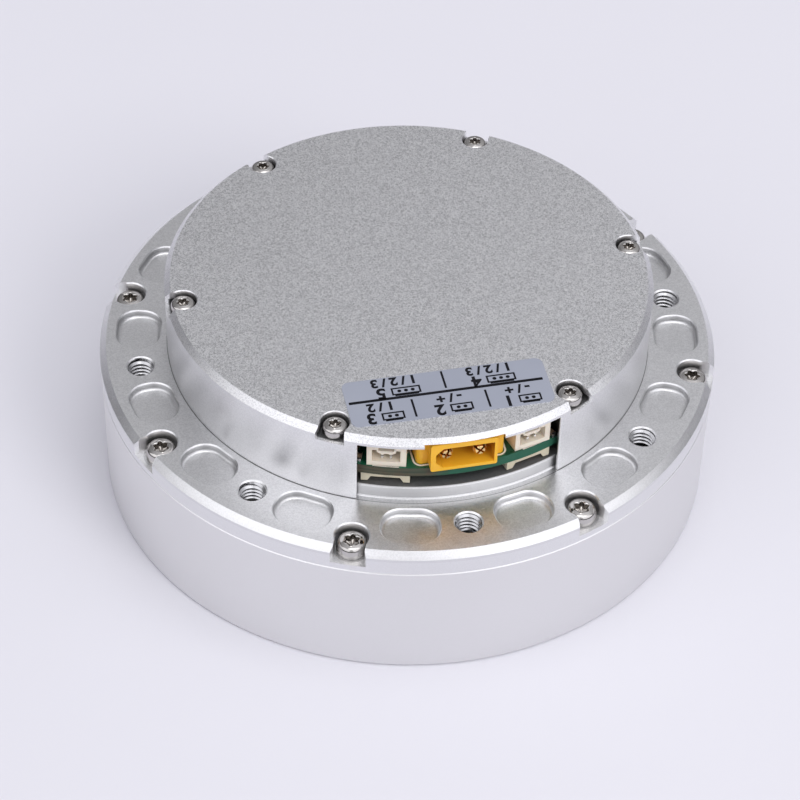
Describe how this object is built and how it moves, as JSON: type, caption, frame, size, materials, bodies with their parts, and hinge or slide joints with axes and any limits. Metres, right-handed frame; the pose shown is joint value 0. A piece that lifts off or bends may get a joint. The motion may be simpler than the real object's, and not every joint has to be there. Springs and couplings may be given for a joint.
{
  "type": "robot joint actuator",
  "caption": "Round aluminium robot joint actuator with flanged mounting face, driver cover, connector window and geared output hub.",
  "frame": {"origin": "on the shaft axis at the front (output side) face that the actuator stands on", "axes": "+Z along the shaft from the output side to the driver cover; -Y through the middle of the connector window"},
  "size_m": [0.096, 0.096, 0.0365],
  "materials": {
    "housing_aluminium": "fine bead-blasted, clear anodised",
    "inner_aluminium": "machined",
    "steel": "ground",
    "stainless_screw": "bright, rolled",
    "gear_steel": "machined",
    "bearing_ball": "polished",
    "bronze": "plain",
    "silicon_steel": "laminated",
    "magnet_nickel": "nickel plated",
    "copper": "enamelled",
    "gold_contact": "gold plated",
    "tin_contact": "tin plated",
    "board_green": "solder mask over glass fibre",
    "chip_black": "moulded",
    "cage_plastic": "moulded",
    "seal_rubber": "moulded",
    "thermal_rubber": "soft pad",
    "connector_yellow": "moulded nylon",
    "connector_cream": "moulded nylon",
    "label_film": "printed film",
    "capacitor_can": "drawn can"
  },
  "bodies": {
    "housing": {"front_housing": "housing_aluminium", "rear_housing": "housing_aluminium", "rear_cover": "housing_aluminium", "flange_screws": "stainless_screw", "cover_screws": "stainless_screw", "port_label": "label_film", "bearing_retainer": "inner_aluminium", "retainer_screws": "stainless_screw", "output_bearing_outer_race": "steel", "output_bearing_seals": "seal_rubber", "rear_bearing_outer_race": "steel", "ring_gear": "gear_steel", "ring_gear_circlip": "steel", "stator_core": "silicon_steel", "stator_windings": "copper", "terminal_ring": "board_green", "phase_leads": "copper", "driver_board": "board_green", "board_screws": "stainless_screw", "power_connector_shell": "connector_yellow", "power_connector_pins": "gold_contact", "can_connector_shell": "connector_cream", "aux_power_connector_shell": "connector_cream", "upper_connector_pins": "tin_contact", "serial_connector_shell": "connector_cream", "debug_connector_shell": "connector_cream", "lower_connector_pins": "tin_contact", "mosfets": "chip_black", "thermal_pad": "thermal_rubber", "driver_chips": "chip_black", "encoder_sensor": "chip_black", "power_inductor": "chip_black", "capacitors": "capacitor_can", "board_components": "chip_black"},
    "output": {"output_hub": "inner_aluminium", "carrier_plate": "inner_aluminium", "planet_pins": "steel", "planet_bushes": "bronze", "thrust_washers": "bronze", "carrier_screws": "stainless_screw", "output_circlip": "steel", "output_bearing_inner_race": "steel", "pilot_bearing_outer_race": "steel"},
    "rotor": {"rotor_bell": "steel", "rotor_magnets": "magnet_nickel", "sun_gear_shaft": "gear_steel", "rotor_screws": "stainless_screw", "encoder_magnet": "magnet_nickel", "rear_bearing_inner_race": "steel", "pilot_bearing_inner_race": "steel"},
    "planet_1": {"planet_gear_1": "gear_steel"},
    "planet_2": {"planet_gear_2": "gear_steel"},
    "planet_3": {"planet_gear_3": "gear_steel"},
    "output_ball_set": {"output_bearing_balls": "bearing_ball", "output_bearing_cage": "cage_plastic"},
    "rear_ball_set": {"rear_bearing_balls": "bearing_ball", "rear_bearing_cage": "cage_plastic"},
    "pilot_ball_set": {"pilot_bearing_balls": "bearing_ball", "pilot_bearing_cage": "cage_plastic"}
  },
  "joints": [
    {"name": "output_spin", "type": "hinge", "parent": "housing", "child": "output", "pos_m": [0, 0, 0.0003], "axis": [0, 0, 1], "continuous": true},
    {"name": "rotor_spin", "type": "hinge", "parent": "housing", "child": "rotor", "pos_m": [0, 0, 0.012], "axis": [0, 0, 1], "continuous": true},
    {"name": "planet_1_spin", "type": "hinge", "parent": "output", "child": "planet_1", "pos_m": [0, 0.01575, 0.0116], "axis": [0, 0, 1], "continuous": true},
    {"name": "planet_2_spin", "type": "hinge", "parent": "output", "child": "planet_2", "pos_m": [-0.01364, -0.00788, 0.0116], "axis": [0, 0, 1], "continuous": true},
    {"name": "planet_3_spin", "type": "hinge", "parent": "output", "child": "planet_3", "pos_m": [0.01364, -0.00788, 0.0116], "axis": [0, 0, 1], "continuous": true},
    {"name": "output_balls_roll", "type": "hinge", "parent": "housing", "child": "output_ball_set", "pos_m": [0, 0, 0.00421], "axis": [0, 0, 1], "continuous": true},
    {"name": "rear_balls_roll", "type": "hinge", "parent": "housing", "child": "rear_ball_set", "pos_m": [0, 0, 0.02331], "axis": [0, 0, 1], "continuous": true},
    {"name": "pilot_balls_roll", "type": "hinge", "parent": "output", "child": "pilot_ball_set", "pos_m": [0, 0, 0.00611], "axis": [0, 0, 1], "continuous": true}
  ],
  "couplings": [
    {"joint": "rotor_spin", "follows": "output_spin", "ratio": 6},
    {"joint": "planet_1_spin", "follows": "output_spin", "ratio": -2.5},
    {"joint": "planet_2_spin", "follows": "output_spin", "ratio": -2.5},
    {"joint": "planet_3_spin", "follows": "output_spin", "ratio": -2.5},
    {"joint": "output_balls_roll", "follows": "output_spin", "ratio": 0.4732},
    {"joint": "rear_balls_roll", "follows": "output_spin", "ratio": 2.5034},
    {"joint": "pilot_balls_roll", "follows": "output_spin", "ratio": 2.1125}
  ]
}
